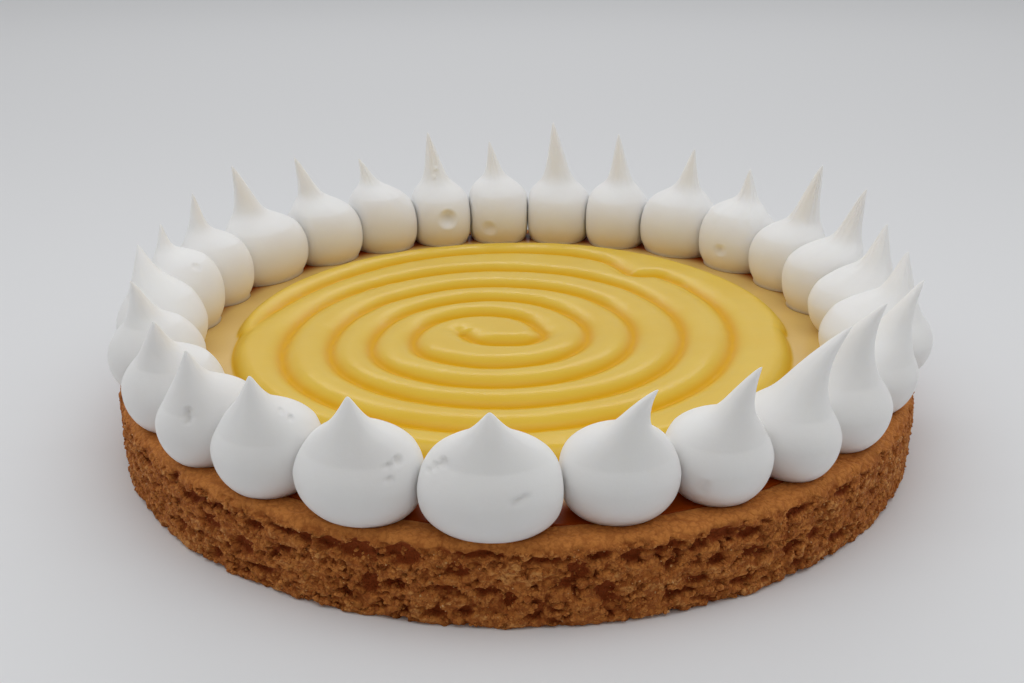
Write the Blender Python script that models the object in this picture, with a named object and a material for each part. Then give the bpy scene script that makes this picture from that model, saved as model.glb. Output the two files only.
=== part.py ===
"""Lemon meringue tart.

A crumbly pastry case baked in a plain ring, filled level with lemon curd. More curd is piped
on top as one long rope, coiled outwards from a small hook at the middle, and a ring of
meringue kisses stands round the edge, half on the curd and half on the pastry rim.

Units are metres, +Z is up, and the origin is under the centre of the tart, on the plate.
The front of the tart is at -Y. Kisses are numbered counter-clockwise from the front.
"""

import math
import random

import bmesh
import bpy
from mathutils import Vector
from mathutils.geometry import delaunay_2d_cdt

# Pastry case
CASE_RADIUS = 0.1100
CASE_HEIGHT = 0.0204
WALL_THICKNESS = 0.0075
FLOOR_THICKNESS = 0.0050
CASE_SEGMENTS = 128
CRUMB_DEPTH = 0.0011
CRAG_DEPTH = 0.0021
CRAG_SHARE = 0.24
CRUMB_SLIP = 0.28
CRUMB_LIFT = 0.0006
RIM_UNEVENNESS = 0.00025
SIDE_RINGS = 7
SIDE_FOOT = 0.0012
UNDERCUT = 0.0020
SHOULDER_DROP = 0.0026
TOUCH_GAP = 0.0003
UNDERSIDE_SHARE = 0.62
FOOT_CRUMBLE = 0.15
SHOULDER_INSET = 0.0009
SHOULDER_RISE = 0.0008
SHOULDER_CRUMBLE = 0.35
RIM_OUTER_INSET = 0.0030
RIM_INNER_INSET = 0.0016
RIM_INNER_DROP = 0.0012

# Lemon curd
CURD_LEVEL = 0.0203
CREST_LEVEL = 0.0243
GROOVE_LEVEL = 0.0217
CURD_SEGMENTS = 72
ROPE_SPACING = 0.0042
ROPE_LINES = 4
ROPE_ROUNDNESS = 2.4
PIPING_WOBBLE = 0.00025
WOBBLES_A_TURN = 3.3

# The piped spiral: the groove beside the rope grows by one pitch a turn round a point
# that lies left of and in front of the tart's centre.
GROOVE_START = 0.0120
ROPE_PITCH = 0.0135
SPIRAL_SHIFT_X = -0.0058
SPIRAL_SHIFT_Y = -0.0059
SPIRAL_OVAL = 0.0017
OVAL_TURN = 0.575
FIRST_TURN = -0.50
SPIRAL_EDGE = 0.0775
EDGE_SWELL = 0.0055
EDGE_LEFT = 0.0024
THINNEST_ROPE = 0.0022

# Where the rope was stopped and started again, near the outer edge at the back right
JOIN_TURN = 4.136
HEAD_LENGTH = 0.11
HEAD_SWELL = 0.0022
TAIL_LENGTH = 0.055
TAIL_TUCK = 0.0045

# The hook at the middle, where the piping began
HOOK_FROM = (-0.0150, -0.0005)
HOOK_TO = (0.0020, -0.0085)
HOOK_LEVEL = 0.0238
HOOK_WIDTH = 0.0030
HOOK_STEPS = 4
HOOK_SHIFT = 0.0012
WELL_LEVEL = 0.0222

# Food colours, as linear red, green and blue
PASTRY_COLOUR = (0.36, 0.155, 0.045)
CURD_COLOUR = (0.72, 0.44, 0.075)
MERINGUE_COLOUR = (0.86, 0.85, 0.82)

# Meringue kisses
SEAT_LEVEL = 0.0207
SEAT_RADIUS = 0.1000
BELLY_RADIAL = 0.0122
BELLY_RISE = 0.0087
FOOT_DEPTH = 0.0032
DOME_RISE = 0.0222
USUAL_TIP = 0.0484
SPIKED = range(8, 21)
FULL_FOOT = 2.15
FULL_SINK = 0.42
FULL_DOME = 1.72
FULL_SLOPE = 0.28
SHORT_BELOW = 0.0515
SHORT_GAIN = 90.0
FULL_MELT = 0.0029
SPIKED_FOOT = 2.8
SPIKED_SINK = 0.12
SPIKED_DOME = 2.0
SPIKED_SLOPE = 0.20
SPIKED_MELT = 0.0033
UPRIGHT_SHARE = 0.12
KISS_SEGMENTS = 12
KISS_CLEARANCE = 0.00015
FOOT_RINGS = (0.0, 0.45)
DOME_RINGS = (0.0, 26.0, 45.0, 59.0, 69.0, 77.0, 83.0, 87.5)

# One entry for each kiss, from the front counter-clockwise: where it meets the next one and where
# its tip stands, both in kiss widths, its tip's reach from the tart's axis, its tip's height and how
# far it stands in from the ring, in millimetres, its belly's share of the usual, how far its outer
# flank bows in, in millimetres, and how late its point bends aside.
KISSES = (
    (0.41, -0.21, 106.5, 48.4, -0.3, 1.00, 0.6, 1.3),
    (1.52, 1.13, 106.5, 51.6, 4.0, 1.00, 2.0, 3.4),
    (2.49, 2.09, 106.5, 52.6, 3.6, 1.00, 2.2, 2.8),
    (3.32, 3.19, 106.5, 55.1, 2.5, 1.00, 3.2, 2.2),
    (4.31, 3.85, 106.5, 56.0, 2.0, 1.00, 3.6, 1.4),
    (5.30, 5.00, 108.5, 53.1, 2.0, 1.00, 2.2, 1.5),
    (6.45, 6.12, 105.8, 51.3, 1.1, 1.20, 1.2, 1.5),
    (7.46, 7.07, 106.3, 52.0, 1.5, 1.08, 1.2, 1.4),
    (8.40, 7.82, 108.1, 57.2, 1.8, 1.00, 1.2, 1.4),
    (9.36, 8.66, 106.5, 59.8, -0.6, 1.00, 1.2, 1.4),
    (10.37, 9.91, 106.5, 52.2, -0.8, 1.00, 1.2, 1.4),
    (11.44, 10.82, 106.5, 55.6, -1.2, 1.00, 1.2, 1.4),
    (12.35, 11.98, 106.5, 58.0, 0.0, 1.00, 1.2, 1.4),
    (13.31, 12.95, 106.5, 61.0, 0.0, 1.00, 1.2, 1.4),
    (14.24, 13.89, 106.5, 54.2, 0.6, 1.00, 1.2, 1.4),
    (15.13, 14.80, 106.5, 58.5, 0.0, 1.00, 1.2, 1.4),
    (16.09, 15.85, 106.5, 51.6, -0.8, 1.00, 1.2, 1.4),
    (17.10, 16.86, 106.5, 55.7, -0.4, 1.00, 1.2, 1.4),
    (18.30, 17.93, 106.5, 57.8, -0.8, 1.00, 1.2, 1.6),
    (19.19, 18.73, 106.5, 53.7, -1.2, 1.00, 1.2, 1.4),
    (20.15, 19.55, 106.0, 49.7, -0.4, 1.00, 1.2, 1.4),
    (21.12, 20.34, 105.5, 49.5, 0.6, 1.00, 1.2, 1.4),
    (22.07, 21.80, 103.2, 51.0, 1.0, 1.00, 1.8, 1.4),
    (23.14, 23.05, 104.6, 50.8, 1.6, 1.00, 1.6, 1.8),
    (24.00, 23.82, 106.5, 50.0, 1.2, 1.00, 0.8, 1.4),
    (24.98, 24.65, 106.5, 49.4, 1.2, 1.00, 0.6, 1.4),
    (26.14, 25.62, 106.5, 49.4, 0.4, 1.00, 0.6, 1.4),
)


def clear_scene():
    """Remove whatever objects the file opened with."""
    for item in list(bpy.data.objects):
        bpy.data.objects.remove(item, do_unlink=True)


def food_material(name, colour, roughness, subsurface=0.0):
    """A plain food surface: its colour, how dull it is and how much light soaks in."""
    material = bpy.data.materials.new(name)
    material.use_nodes = True
    shader = material.node_tree.nodes["Principled BSDF"]
    shader.inputs["Base Color"].default_value = (*colour, 1.0)
    shader.inputs["Roughness"].default_value = roughness
    shader.inputs["Metallic"].default_value = 0.0
    shader.inputs["Subsurface Weight"].default_value = subsurface
    material.diffuse_color = (*colour, 1.0)
    return material


def finish(name, mesh_builder, material):
    """Turn a closed bmesh into a named, smooth-shaded object with one material."""
    bmesh.ops.recalc_face_normals(mesh_builder, faces=mesh_builder.faces)
    if mesh_builder.calc_volume(signed=True) < 0.0:
        bmesh.ops.reverse_faces(mesh_builder, faces=mesh_builder.faces)
    bmesh.ops.triangulate(mesh_builder, faces=mesh_builder.faces)
    mesh = bpy.data.meshes.new(name)
    mesh_builder.to_mesh(mesh)
    mesh_builder.free()
    mesh.shade_smooth()
    mesh.set_sharp_from_angle(angle=math.radians(75.0))
    mesh.materials.append(material)
    item = bpy.data.objects.new(name, mesh)
    bpy.context.scene.collection.objects.link(item)
    return item


def polar(radius, angle, height):
    """A point at this distance and direction from the tart's axis."""
    return Vector((radius * math.cos(angle), radius * math.sin(angle), height))


def bridge_rings(builder, lower, upper):
    """Quads between two rings with the same number of vertices."""
    count = len(lower)
    for index in range(count):
        following = (index + 1) % count
        builder.faces.new((lower[index], lower[following], upper[following], upper[index]))


def fan(builder, ring, centre):
    """Triangles from a ring to one vertex at its middle."""
    count = len(ring)
    for index in range(count):
        builder.faces.new((ring[index], ring[(index + 1) % count], centre))


def case_profile():
    """The pastry's section from under the floor, up the crumbly side, over the rim and down inside.

    Each entry is a radius, a height and how crumbly the surface is there, from 0 to 1.
    """
    side_top = CASE_HEIGHT - SHOULDER_DROP
    inner = CASE_RADIUS - WALL_THICKNESS
    rows = [(UNDERSIDE_SHARE * CASE_RADIUS, 0.0, 0.0), (CASE_RADIUS - UNDERCUT, 0.0, FOOT_CRUMBLE)]
    for ring in range(SIDE_RINGS):
        share = ring / (SIDE_RINGS - 1)
        rows.append((CASE_RADIUS, SIDE_FOOT + share * (side_top - SIDE_FOOT), 1.0))
    rows.append((CASE_RADIUS - SHOULDER_INSET, CASE_HEIGHT - SHOULDER_RISE, SHOULDER_CRUMBLE))
    rows.append((CASE_RADIUS - RIM_OUTER_INSET, CASE_HEIGHT, 0.0))
    rows.append((inner + RIM_INNER_INSET, CASE_HEIGHT, 0.0))
    rows.append((inner, CASE_HEIGHT - RIM_INNER_DROP, 0.0))
    rows.append((inner, FLOOR_THICKNESS, 0.0))
    return rows


def build_case(material):
    """The pastry case: a floor and an upright wall with a crumbly, pitted outer side."""
    draw = random.Random(7)
    builder = bmesh.new()
    step = 2.0 * math.pi / CASE_SEGMENTS
    rings = []
    for radius, height, crumbly in case_profile():
        ring = []
        for index in range(CASE_SEGMENTS):
            dent = CRUMB_DEPTH * draw.random()
            if draw.random() < CRAG_SHARE:
                dent = CRAG_DEPTH
            slip = draw.uniform(-CRUMB_SLIP, CRUMB_SLIP) * step * crumbly
            lift = draw.uniform(-CRUMB_LIFT, CRUMB_LIFT) * crumbly
            if height == CASE_HEIGHT:
                lift = -RIM_UNEVENNESS * draw.random()
            ring.append(builder.verts.new(polar(radius - dent * crumbly, index * step + slip, height + lift)))
        rings.append(ring)
    for lower, upper in zip(rings, rings[1:]):
        bridge_rings(builder, lower, upper)
    fan(builder, rings[0], builder.verts.new((0.0, 0.0, 0.0)))
    fan(builder, rings[-1], builder.verts.new((0.0, 0.0, FLOOR_THICKNESS)))
    for vertex in builder.verts:
        vertex.co.z = max(vertex.co.z, 0.0)
    return finish("crust", builder, material)


def groove_radius(turn):
    """Distance from the tart's axis to the groove inside the rope, after this many turns."""
    angle = 2.0 * math.pi * turn
    radius = GROOVE_START + ROPE_PITCH * turn
    radius += SPIRAL_SHIFT_X * math.cos(angle) + SPIRAL_SHIFT_Y * math.sin(angle)
    radius += SPIRAL_OVAL * math.cos(2.0 * (angle - 2.0 * math.pi * OVAL_TURN))
    past_join = turn - JOIN_TURN
    if -HEAD_LENGTH < past_join <= 0.0:
        radius += HEAD_SWELL * (1.0 + past_join / HEAD_LENGTH) ** 2
    if 0.0 < past_join < TAIL_LENGTH:
        radius -= TAIL_TUCK * (1.0 - past_join / TAIL_LENGTH)
    return radius


def edge_radius(turn):
    """Outer edge of the piped curd, a little fuller at the back and on the left."""
    angle = 2.0 * math.pi * turn
    left = EDGE_LEFT * max(0.0, -math.cos(angle)) ** 2
    return SPIRAL_EDGE + left + EDGE_SWELL * math.sqrt(max(0.0, math.sin(angle)))


def rope_height(turn, across, outer_level):
    """Height of the rope at a share of its width, from its inner groove to its outer one."""
    trough = GROOVE_LEVEL + across * (outer_level - GROOVE_LEVEL)
    crest = CREST_LEVEL + PIPING_WOBBLE * math.sin(2.0 * math.pi * WOBBLES_A_TURN * turn)
    bulge = 1.0 - abs(2.0 * across - 1.0) ** ROPE_ROUNDNESS
    return trough + (crest - trough) * bulge


def hook_height(x, y):
    """Height inside the innermost loop, where the rope's hooked end lies in a shallow well."""
    along_x = HOOK_TO[0] - HOOK_FROM[0]
    along_y = HOOK_TO[1] - HOOK_FROM[1]
    length_squared = along_x ** 2 + along_y ** 2
    share = ((x - HOOK_FROM[0]) * along_x + (y - HOOK_FROM[1]) * along_y) / length_squared
    share = min(1.0, max(0.0, share))
    distance = math.hypot(x - HOOK_FROM[0] - share * along_x, y - HOOK_FROM[1] - share * along_y)
    return WELL_LEVEL + (HOOK_LEVEL - WELL_LEVEL) * math.exp(-(distance / HOOK_WIDTH) ** 2)


def circle_points(radius_rule, height):
    """Points round the tart at a radius that may change with the turn."""
    points = []
    for index in range(CURD_SEGMENTS):
        turn = index / CURD_SEGMENTS
        points.append(polar(radius_rule(turn), 2.0 * math.pi * turn, height))
    return points


def rope_points():
    """Rows of points across the rope, from groove to groove, all the way along the spiral."""
    rows = []
    turn = FIRST_TURN
    while True:
        inner = groove_radius(turn)
        edge = edge_radius(turn)
        if edge - inner < THINNEST_ROPE:
            break
        next_groove = groove_radius(turn + 1.0)
        outermost = next_groove > edge - THINNEST_ROPE
        outer = edge if outermost else next_groove
        outer_level = CURD_LEVEL if outermost else GROOVE_LEVEL
        row = []
        for line in range(ROPE_LINES):
            across = line / ROPE_LINES
            radius = inner + across * (outer - inner)
            row.append(polar(radius, 2.0 * math.pi * turn, rope_height(turn, across, outer_level)))
        rows.append(row)
        turn += ROPE_SPACING / (2.0 * math.pi * inner)
    return rows


def hook_points():
    """Points along the hooked end and in the well on both sides of it."""
    points = []
    for index in range(HOOK_STEPS + 1):
        share = index / HOOK_STEPS
        x = HOOK_FROM[0] + share * (HOOK_TO[0] - HOOK_FROM[0]) + HOOK_SHIFT
        y = HOOK_FROM[1] + share * (HOOK_TO[1] - HOOK_FROM[1])
        for side in (-1.0, 0.0, 1.0):
            spot_y = y + side * HOOK_WIDTH
            points.append(Vector((x, spot_y, hook_height(x, spot_y))))
    return points


def build_curd(material):
    """The filling: a thick disc of curd down to the pastry floor with the piped rope on top."""
    rim = CASE_RADIUS - WALL_THICKNESS - TOUCH_GAP
    points = circle_points(lambda turn: rim, CURD_LEVEL)
    points += circle_points(lambda turn: 0.5 * (rim + edge_radius(turn)), CURD_LEVEL)
    points += circle_points(edge_radius, CURD_LEVEL)
    creases = []
    rows = rope_points()
    for row_index, row in enumerate(rows):
        first = len(points)
        points += row
        if row_index > 0:
            creases += [(first - ROPE_LINES + line, first + line) for line in range(ROPE_LINES)]
    points += hook_points()
    flat = [Vector((point.x, point.y)) for point in points]
    spots, _, triangles, sources, _, _ = delaunay_2d_cdt(flat, creases, [], 0, 1e-6)
    builder = bmesh.new()
    top = []
    for spot, origin in zip(spots, sources):
        height = points[origin[0]].z if origin else GROOVE_LEVEL
        top.append(builder.verts.new((spot.x, spot.y, height)))
    for triangle in triangles:
        builder.faces.new([top[index] for index in triangle])
    outline = sorted((v for v in builder.verts if v.is_boundary), key=lambda v: math.atan2(v.co.y, v.co.x))
    underside = FLOOR_THICKNESS + TOUCH_GAP
    base = [builder.verts.new((v.co.x, v.co.y, underside)) for v in outline]
    bridge_rings(builder, base, outline)
    fan(builder, base, builder.verts.new((0.0, 0.0, underside)))
    return finish("curd", builder, material)


def ring_angle(place):
    """Direction of a place on the ring, counted in kisses counter-clockwise from the front."""
    return -0.5 * math.pi + 2.0 * math.pi * place / len(KISSES)


def kiss_rows(tip_height, spiked):
    """Rises above the seat and widths, as shares of the belly, of a kiss's rings."""
    foot = SPIKED_FOOT if spiked else FULL_FOOT
    sink = SPIKED_SINK if spiked else FULL_SINK
    short = max(0.0, SHORT_BELOW - tip_height)
    slope = SPIKED_SLOPE if spiked else FULL_SLOPE + SHORT_GAIN * short
    bulge = 2.0 / (SPIKED_DOME if spiked else FULL_DOME)
    melt = SPIKED_MELT if spiked else FULL_MELT
    height = tip_height - SEAT_LEVEL
    dome_top = DOME_RISE - sink * (tip_height - USUAL_TIP)
    rows = []
    for share in FOOT_RINGS:
        level = BELLY_RISE * (1.0 - share) / (BELLY_RISE + FOOT_DEPTH)
        rows.append((share * BELLY_RISE, (1.0 - level ** foot) ** (1.0 / foot)))
    for degrees in DOME_RINGS:
        width = math.cos(math.radians(degrees)) ** bulge
        dome = BELLY_RISE + (dome_top - BELLY_RISE) * math.sin(math.radians(degrees)) ** bulge
        point = height - BELLY_RADIAL * width / slope
        rows.append((melt * math.log(math.exp(dome / melt) + math.exp(point / melt)), width))
    return rows


def build_kiss(number, material):
    """One meringue kiss: a round body pressed against its neighbours, drawn up to a leaning point."""
    seam, tip_place, tip_reach, tip_height, inward, girth, bow, curl = KISSES[number]
    before = KISSES[number - 1][0] - (len(KISSES) if number == 0 else 0)
    low_limit = ring_angle(before)
    high_limit = ring_angle(seam)
    place = 0.5 * (before + seam)
    seat = SEAT_RADIUS - 0.001 * inward
    belly = BELLY_RADIAL * girth
    top = 0.001 * tip_height - SEAT_LEVEL
    builder = bmesh.new()
    rings = []
    for rise, share in kiss_rows(0.001 * tip_height, number in SPIKED):
        climb = max(0.0, (rise - BELLY_RISE) / (top - BELLY_RISE))
        outer = seat + belly + climb * (0.001 * tip_reach - seat - belly)
        outer -= 0.001 * bow * math.sin(math.pi * climb)
        upright = min(1.0, climb / UPRIGHT_SHARE)
        centre = seat + upright * (max(seat, outer - belly * share) - seat)
        middle = ring_angle(place + climb ** curl * (tip_place - place))
        half_width = 0.5 * (high_limit - low_limit)
        ring = []
        for index in range(KISS_SEGMENTS):
            around = 2.0 * math.pi * index / KISS_SEGMENTS
            radius = centre + belly * share * math.cos(around)
            angle = middle + half_width * share * math.sin(around)
            margin = KISS_CLEARANCE / radius
            angle = min(max(angle, low_limit + margin), high_limit - margin)
            ring.append(builder.verts.new(polar(radius, angle, SEAT_LEVEL + rise)))
        rings.append(ring)
    for lower, upper in zip(rings, rings[1:]):
        bridge_rings(builder, lower, upper)
    builder.faces.new(list(reversed(rings[0])))
    tip = builder.verts.new(polar(0.001 * tip_reach, ring_angle(tip_place), 0.001 * tip_height))
    fan(builder, rings[-1], tip)
    return finish(f"meringue_{number + 1:02d}", builder, material)


def main():
    """Build the pastry case, the curd and the ring of kisses."""
    clear_scene()
    pastry = food_material("pastry", PASTRY_COLOUR, 0.85)
    curd = food_material("curd", CURD_COLOUR, 0.28, 0.3)
    meringue = food_material("meringue", MERINGUE_COLOUR, 0.5, 0.3)
    build_case(pastry)
    build_curd(curd)
    for number in range(len(KISSES)):
        build_kiss(number, meringue)


main()
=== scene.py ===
"""Lemon meringue tart, dressed for the camera.

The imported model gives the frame. Over it come the crumbly pastry case, the piped and glossy
lemon curd and the ring of meringue kisses, each made to its real shape and finish.
Units are metres, +Z is up and the front of the tart is at -Y.
"""

import logging
import math
from dataclasses import dataclass, field
from enum import Enum

import bpy
import numpy as np
from mathutils import Matrix, Vector


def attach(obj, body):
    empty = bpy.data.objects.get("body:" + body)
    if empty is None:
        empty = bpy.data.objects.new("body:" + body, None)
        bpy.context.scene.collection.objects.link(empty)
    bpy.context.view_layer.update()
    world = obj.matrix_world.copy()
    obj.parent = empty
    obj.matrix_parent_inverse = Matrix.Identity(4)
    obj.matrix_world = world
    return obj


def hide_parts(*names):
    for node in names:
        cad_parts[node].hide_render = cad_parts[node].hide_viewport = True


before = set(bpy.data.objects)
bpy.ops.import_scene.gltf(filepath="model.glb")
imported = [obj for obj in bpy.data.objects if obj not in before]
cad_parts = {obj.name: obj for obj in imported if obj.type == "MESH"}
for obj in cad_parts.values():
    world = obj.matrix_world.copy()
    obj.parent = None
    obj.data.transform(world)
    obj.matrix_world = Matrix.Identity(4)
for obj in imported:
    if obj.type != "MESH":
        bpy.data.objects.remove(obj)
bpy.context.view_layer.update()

log = logging.getLogger("tart")

TURN = 2.0 * math.pi
QUARTER = 0.5 * math.pi
MM = 0.001
ORIGIN = (0.0, 0.0, 0.0)
WELD = 0.000002

Material = bpy.types.Material
Node = bpy.types.Node
Piece = bpy.types.Object
Socket = bpy.types.NodeSocket
Tree = bpy.types.NodeTree

# Whole numbers that stir a lattice point's place into its own number.
STIR_PLACE = (73856093, 19349663, 83492791)
STIR_SEED = 2654435761
STIR_MORE = (2246822519, 3266489917)


def unit(values: np.ndarray) -> np.ndarray:
    """Values clipped to 0..1."""
    return np.clip(values, 0.0, 1.0)


def eased(share: np.ndarray) -> np.ndarray:
    """A share from 0 to 1 that starts and ends gently."""
    return share * share * (3.0 - 2.0 * share)


def lattice_values(cells: np.ndarray, seed: int) -> np.ndarray:
    """Give each integer lattice point its own number.

    Args:
        cells: whole numbers, the last axis being x, y, z.
        seed: which of the many number sets to use.

    Returns:
        Numbers from 0 to 1, without the last axis.
    """
    whole = (cells + 100000).astype(np.uint64)
    key = whole[..., 0] * np.uint64(STIR_PLACE[0])
    key ^= whole[..., 1] * np.uint64(STIR_PLACE[1])
    key ^= whole[..., 2] * np.uint64(STIR_PLACE[2])
    key += np.uint64(seed * STIR_SEED % 2**32)
    key ^= key >> np.uint64(15)
    key *= np.uint64(STIR_MORE[0])
    key ^= key >> np.uint64(13)
    key *= np.uint64(STIR_MORE[1])
    key ^= key >> np.uint64(16)
    return (key & np.uint64(0xFFFFFF)).astype(np.float64) / float(0xFFFFFF)


def smooth_noise(points: np.ndarray, size: float, seed: int) -> np.ndarray:
    """Soft lumps of about one size.

    Args:
        points: positions in metres, one row each.
        size: distance between lumps in metres.
        seed: which pattern to use.

    Returns:
        Numbers from -1 to 1, one for each position.
    """
    spot = points / size
    cell = np.floor(spot).astype(np.int64)
    part = eased(spot - cell)
    total = np.zeros(len(points))
    for corner in range(8):
        offset = np.array([corner & 1, corner >> 1 & 1, corner >> 2 & 1])
        weight = np.prod(np.where(offset, part, 1.0 - part), axis=1)
        total += weight * lattice_values(cell + offset, seed)
    return 2.0 * total - 1.0


def rough_noise(points: np.ndarray, size: float, seed: int, layers: int = 3) -> np.ndarray:
    """Lumps with finer lumps on them.

    Args:
        points: positions in metres, one row each.
        size: distance between the largest lumps in metres.
        seed: which pattern to use.
        layers: how many sizes of lump, each half the one before.

    Returns:
        Numbers from about -1 to 1, one for each position.
    """
    total = np.zeros(len(points))
    strength = 1.0
    reach = 0.0
    for layer in range(layers):
        total += strength * smooth_noise(points, size / 2**layer, seed + layer)
        reach += strength
        strength *= 0.5
    return total / reach * 1.4


def grain_distance(points: np.ndarray, size: float, seed: int) -> np.ndarray:
    """Distance to the nearest of many scattered grain centres, in grain sizes.

    Args:
        points: positions in metres, one row each.
        size: distance between grains in metres.
        seed: which scatter to use.

    Returns:
        0 at a grain's centre and about 1 far from all of them.
    """
    spot = points / size
    cell = np.floor(spot).astype(np.int64)
    nearest = np.full(len(points), 9.0)
    for corner in range(27):
        offset = np.array([corner % 3 - 1, corner // 3 % 3 - 1, corner // 9 - 1])
        home = cell + offset
        centre = home + np.stack([lattice_values(home, seed + axis) for axis in range(3)], axis=-1)
        nearest = np.minimum(nearest, np.sum((spot - centre) ** 2, axis=1))
    return np.sqrt(nearest)


def flowing_curve(stations: np.ndarray, values: np.ndarray, wanted: np.ndarray) -> np.ndarray:
    """A smooth curve through given values.

    Args:
        stations: where the values stand, in rising order.
        values: the curve's values there.
        wanted: where the curve is read.

    Returns:
        The curve's values at the wanted places.
    """
    slopes = np.gradient(values, stations)
    index = np.clip(np.searchsorted(stations, wanted) - 1, 0, len(stations) - 2)
    span = stations[index + 1] - stations[index]
    part = unit((wanted - stations[index]) / span)
    rise = values[index + 1] - values[index]
    start = slopes[index] * span
    end = slopes[index + 1] * span
    return values[index] + part * (
        start + part * (3.0 * rise - 2.0 * start - end + part * (start + end - 2.0 * rise))
    )


def read_points(piece: Piece) -> np.ndarray:
    """Positions of a piece's vertices, one row each."""
    flat = np.empty(3 * len(piece.data.vertices))
    piece.data.vertices.foreach_get("co", flat)
    return flat.reshape(-1, 3)


def write_points(piece: Piece, points: np.ndarray) -> None:
    """Move a piece's vertices to new positions."""
    piece.data.vertices.foreach_set("co", np.ascontiguousarray(points).ravel())
    piece.data.update()


def write_mask(piece: Piece, name: str, values: np.ndarray) -> None:
    """Store one number for each vertex, for the finish to read.

    Args:
        piece: the piece that carries the numbers.
        name: the attribute's name.
        values: numbers from 0 to 1.
    """
    attribute = piece.data.attributes.new(name, "FLOAT", "POINT")
    attribute.data.foreach_set("value", unit(values).astype(np.float32))


def revolve(name: str, profile: list[tuple[float, float]], steps: int) -> Piece:
    """Draw a section edge by edge and turn it once round the upright axis.

    Args:
        name: name of the new piece.
        profile: radius and height of each point of the section.
        steps: how many steps the full turn takes.

    Returns:
        The closed, round piece.
    """
    bpy.ops.object.select_all(action="DESELECT")
    bpy.ops.mesh.primitive_plane_add(size=0.001, location=ORIGIN)
    piece = bpy.context.active_object
    piece.name = name
    bpy.ops.object.mode_set(mode="EDIT")
    bpy.ops.mesh.select_all(action="SELECT")
    bpy.ops.mesh.merge(type="CENTER")
    bpy.ops.transform.translate(value=(profile[0][0], 0.0, profile[0][1]))
    for before, after in zip(profile, profile[1:]):
        move = (after[0] - before[0], 0.0, after[1] - before[1])
        bpy.ops.mesh.extrude_region_move(TRANSFORM_OT_translate={"value": move})
    bpy.ops.object.mode_set(mode="OBJECT")
    bpy.ops.object.modifier_add(type="SCREW")
    lathe = piece.modifiers[-1]
    lathe.axis = "Z"
    lathe.angle = TURN
    lathe.steps = steps
    lathe.render_steps = steps
    lathe.use_merge_vertices = True
    lathe.merge_threshold = WELD
    bpy.ops.object.modifier_apply(modifier=lathe.name)
    bpy.ops.object.mode_set(mode="EDIT")
    bpy.ops.mesh.select_all(action="SELECT")
    bpy.ops.mesh.remove_doubles(threshold=WELD)
    bpy.ops.mesh.normals_make_consistent(inside=False)
    bpy.ops.object.mode_set(mode="OBJECT")
    return piece


def scatter(
    name: str, grain: Piece, places: np.ndarray, sizes: np.ndarray, draw: np.random.Generator
) -> Piece:
    """Copy one grain to many places, each copy turned and stretched its own way.

    Args:
        name: name of the new piece.
        grain: the grain that is copied, about one unit in radius.
        places: where the copies go, one row each.
        sizes: radius of each copy in metres.
        draw: source of the turns and stretches.

    Returns:
        One piece that holds every copy.
    """
    shape = read_points(grain)
    corners = np.array([face.vertices[:] for face in grain.data.polygons])
    count = len(places)
    turns = draw.normal(size=(count, 4))
    turns /= np.linalg.norm(turns, axis=1, keepdims=True)
    w, x, y, z = turns.T
    spin = np.array(
        [
            [1 - 2 * (y * y + z * z), 2 * (x * y - z * w), 2 * (x * z + y * w)],
            [2 * (x * y + z * w), 1 - 2 * (x * x + z * z), 2 * (y * z - x * w)],
            [2 * (x * z - y * w), 2 * (y * z + x * w), 1 - 2 * (x * x + y * y)],
        ]
    ).transpose(2, 0, 1)
    stretch = draw.uniform(0.62, 1.25, size=(count, 1, 3))
    dents = draw.uniform(0.78, 1.15, size=(count, len(shape), 1))
    local = shape[None, :, :] * stretch * dents * sizes[:, None, None]
    points = np.einsum("nij,nvj->nvi", spin, local) + places[:, None, :]
    faces = corners[None, :, :] + (np.arange(count) * len(shape))[:, None, None]
    mesh = bpy.data.meshes.new(name)
    faces = faces.reshape(-1, corners.shape[1])
    mesh.from_pydata(points.reshape(-1, 3).tolist(), [], faces.tolist())
    piece = bpy.data.objects.new(name, mesh)
    bpy.context.scene.collection.objects.link(piece)
    return piece


def single_grain(name: str) -> Piece:
    """A rough little lump of twenty faces, one unit in radius, to be copied."""
    bpy.ops.object.select_all(action="DESELECT")
    bpy.ops.mesh.primitive_ico_sphere_add(subdivisions=1, radius=1.0, location=ORIGIN)
    grain = bpy.context.active_object
    grain.name = name
    return grain


def linear(red: int, green: int, blue: int) -> tuple[float, float, float, float]:
    """A screen colour from 0 to 255 as the colour that light works with, with a full alpha."""
    parts = []
    for channel in (red, green, blue):
        share = channel / 255.0
        parts.append(share / 12.92 if share <= 0.04045 else ((share + 0.055) / 1.055) ** 2.4)
    return (*parts, 1.0)


def feed(tree: Tree, node: Node, inputs: dict[str | int, object]) -> None:
    """Set or wire some of a node's inputs.

    Args:
        tree: the node tree that holds the node.
        node: the node.
        inputs: for each input, by name or number, its value or the socket that feeds it.
    """
    for key, given in inputs.items():
        if isinstance(given, Socket):
            tree.links.new(given, node.inputs[key])
        else:
            node.inputs[key].default_value = given


def add_node(tree: Tree, kind: str, inputs: dict[str | int, object], **settings: object) -> Node:
    """Add a shader node, set it up and wire it.

    Args:
        tree: the node tree that it joins.
        kind: its type, without the leading ShaderNode.
        inputs: for each input, by name or number, its value or the socket that feeds it.
        settings: its own properties.

    Returns:
        The new node.
    """
    node = tree.nodes.new(f"ShaderNode{kind}")
    for label, value in settings.items():
        setattr(node, label, value)
    feed(tree, node, inputs)
    return node


def stored_mask(tree: Tree, name: str) -> Socket:
    """The socket that reads a mask kept in the mesh."""
    return add_node(tree, "Attribute", {}, attribute_name=name).outputs["Fac"]


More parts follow.
